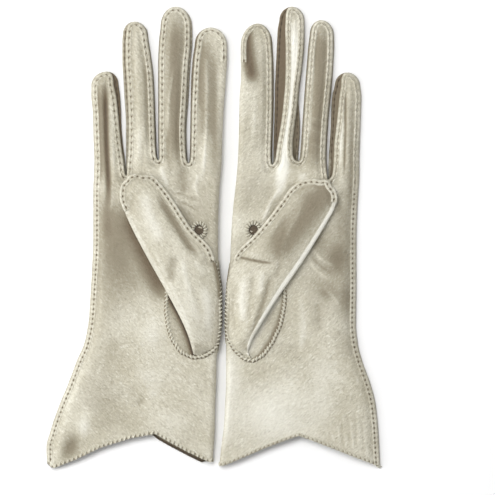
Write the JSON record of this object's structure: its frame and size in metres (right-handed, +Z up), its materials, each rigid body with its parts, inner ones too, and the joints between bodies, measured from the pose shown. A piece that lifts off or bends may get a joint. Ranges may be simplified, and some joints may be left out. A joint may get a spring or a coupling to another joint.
{
  "type": "pair of gauntlet gloves",
  "caption": "Pair of ladies' ivory kid leather gauntlet gloves with outseam stitching, folding finger stalls, thumbs laid over the palms and flared notched cuffs.",
  "frame": {"origin": "middle of the pair's bounding box, on the surface the gloves lie on", "axes": "+Y from the cuffs to the fingertips, +Z up out of the palms, +X from the right-hand glove to the left-hand glove"},
  "size_m": [0.2028, 0.2814, 0.018],
  "materials": {
    "ivory_kid": "matt, soft, finely wrinkled",
    "fourchette_kid": "matt, soft",
    "stitching": "twisted cotton"
  },
  "bodies": {
    "right_hand": {"right_trank": "ivory_kid", "right_crotch_pinky_ring": "fourchette_kid", "right_crotch_ring_middle": "fourchette_kid", "right_crotch_middle_index": "fourchette_kid", "right_thumb_base": "ivory_kid", "right_side_thread": "stitching", "right_hem_thread": "stitching", "right_thumb_hole_thread": "stitching"},
    "right_index": {"right_index_stall": "ivory_kid", "right_index_fourchette_middle": "fourchette_kid", "right_index_thread": "stitching"},
    "right_middle": {"right_middle_palm": "ivory_kid", "right_middle_back": "ivory_kid", "right_middle_fourchette_ring": "fourchette_kid", "right_middle_fourchette_index": "fourchette_kid", "right_middle_palm_thread": "stitching", "right_middle_back_thread": "stitching"},
    "right_ring": {"right_ring_palm": "ivory_kid", "right_ring_back": "ivory_kid", "right_ring_fourchette_pinky": "fourchette_kid", "right_ring_fourchette_middle": "fourchette_kid", "right_ring_palm_thread": "stitching", "right_ring_back_thread": "stitching"},
    "right_pinky": {"right_pinky_palm": "ivory_kid", "right_pinky_back": "ivory_kid", "right_pinky_fourchette_ring": "fourchette_kid", "right_pinky_palm_thread": "stitching", "right_pinky_back_thread": "stitching"},
    "right_thumb": {"right_thumb_stall": "ivory_kid", "right_thumb_seam_thread": "stitching"},
    "left_hand": {"left_trank": "ivory_kid", "left_crotch_pinky_ring": "fourchette_kid", "left_crotch_ring_middle": "fourchette_kid", "left_crotch_middle_index": "fourchette_kid", "left_thumb_base": "ivory_kid", "left_side_thread": "stitching", "left_hem_thread": "stitching", "left_thumb_hole_thread": "stitching"},
    "left_index": {"left_index_stall": "ivory_kid", "left_index_fourchette_middle": "fourchette_kid", "left_index_thread": "stitching"},
    "left_middle": {"left_middle_palm": "ivory_kid", "left_middle_back": "ivory_kid", "left_middle_fourchette_ring": "fourchette_kid", "left_middle_fourchette_index": "fourchette_kid", "left_middle_palm_thread": "stitching", "left_middle_back_thread": "stitching"},
    "left_ring": {"left_ring_palm": "ivory_kid", "left_ring_back": "ivory_kid", "left_ring_fourchette_pinky": "fourchette_kid", "left_ring_fourchette_middle": "fourchette_kid", "left_ring_palm_thread": "stitching", "left_ring_back_thread": "stitching"},
    "left_pinky": {"left_pinky_palm": "ivory_kid", "left_pinky_back": "ivory_kid", "left_pinky_fourchette_ring": "fourchette_kid", "left_pinky_palm_thread": "stitching", "left_pinky_back_thread": "stitching"},
    "left_thumb": {"left_thumb_stall": "ivory_kid", "left_thumb_seam_thread": "stitching"}
  },
  "joints": [
    {"name": "right_pinky_fold", "type": "hinge", "parent": "right_hand", "child": "right_pinky", "pos_m": [-0.06286, 0.04347, 0.0097], "axis": [1, 0, 0], "range_deg": [0, 85]},
    {"name": "right_ring_fold", "type": "hinge", "parent": "right_hand", "child": "right_ring", "pos_m": [-0.04311, 0.05017, 0.0097], "axis": [1, 0, 0], "range_deg": [0, 85]},
    {"name": "right_middle_fold", "type": "hinge", "parent": "right_hand", "child": "right_middle", "pos_m": [-0.02441, 0.05017, 0.0097], "axis": [1, 0, 0], "range_deg": [0, 85]},
    {"name": "right_index_fold", "type": "hinge", "parent": "right_hand", "child": "right_index", "pos_m": [-0.00456, 0.05017, 0.0097], "axis": [1, 0, 0], "range_deg": [0, 85]},
    {"name": "right_thumb_lift", "type": "hinge", "parent": "right_hand", "child": "right_thumb", "pos_m": [-0.02231, -0.01383, 0.0183], "axis": [0.8848, 0.4659, 0], "range_deg": [0, 90]},
    {"name": "left_pinky_fold", "type": "hinge", "parent": "left_hand", "child": "left_pinky", "pos_m": [0.07944, 0.04228, 0.0097], "axis": [1, 0, 0], "range_deg": [0, 85]},
    {"name": "left_ring_fold", "type": "hinge", "parent": "left_hand", "child": "left_ring", "pos_m": [0.06104, 0.05017, 0.0097], "axis": [1, 0, 0], "range_deg": [0, 85]},
    {"name": "left_middle_fold", "type": "hinge", "parent": "left_hand", "child": "left_middle", "pos_m": [0.04444, 0.05017, 0.0097], "axis": [1, 0, 0], "range_deg": [0, 85]},
    {"name": "left_index_fold", "type": "hinge", "parent": "left_hand", "child": "left_index", "pos_m": [0.02489, 0.05017, 0.0097], "axis": [1, 0, 0], "range_deg": [0, 85]},
    {"name": "left_thumb_lift", "type": "hinge", "parent": "left_hand", "child": "left_thumb", "pos_m": [0.03379, -0.01563, 0.0183], "axis": [0.8243, -0.5662, 0], "range_deg": [0, 90]},
    {"name": "pair_apart", "type": "slide", "parent": "right_hand", "child": "left_hand", "axis": [1, 0, 0], "range_m": [0, 0.1]}
  ]
}
